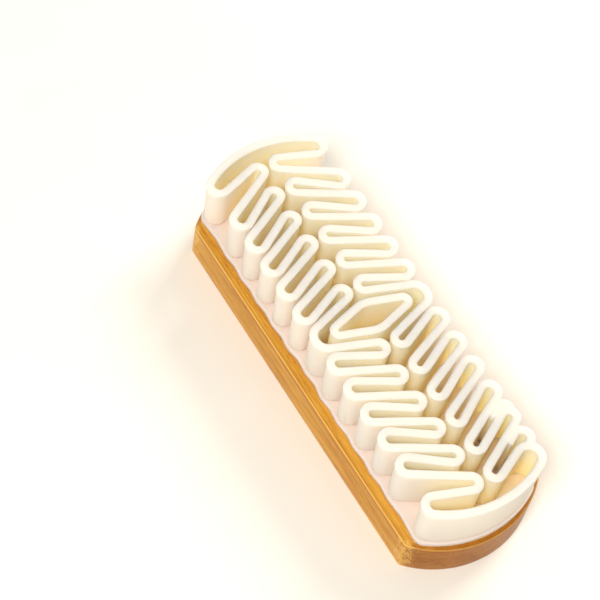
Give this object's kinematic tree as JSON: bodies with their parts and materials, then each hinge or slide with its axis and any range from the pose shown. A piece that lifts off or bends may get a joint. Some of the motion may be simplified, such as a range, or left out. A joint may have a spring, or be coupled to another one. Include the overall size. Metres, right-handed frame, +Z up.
{
  "type": "suede brush",
  "caption": "Hand-held suede brush: flat beech block with arched ends, carrying a cream crepe rubber strip that stands in folds round a diamond-shaped centre ring.",
  "frame": {"origin": "centre of the wooden block's flat back face", "axes": "+X along the brush, +Y across it, +Z up through the rubber, so the brush lies on its back"},
  "size_m": [0.125, 0.0414, 0.0285],
  "materials": {
    "beech": "clear satin lacquer over warm brown beech, grain along the brush",
    "glue": "dull translucent contact adhesive",
    "crepe_rubber": "soft matt cream crepe rubber"
  },
  "bodies": {
    "root": {"wooden_handle": "beech", "glue_film": "glue", "rubber_sheet": "crepe_rubber", "serpentine_strip": "crepe_rubber", "centre_ring": "crepe_rubber"}
  },
  "joints": []
}
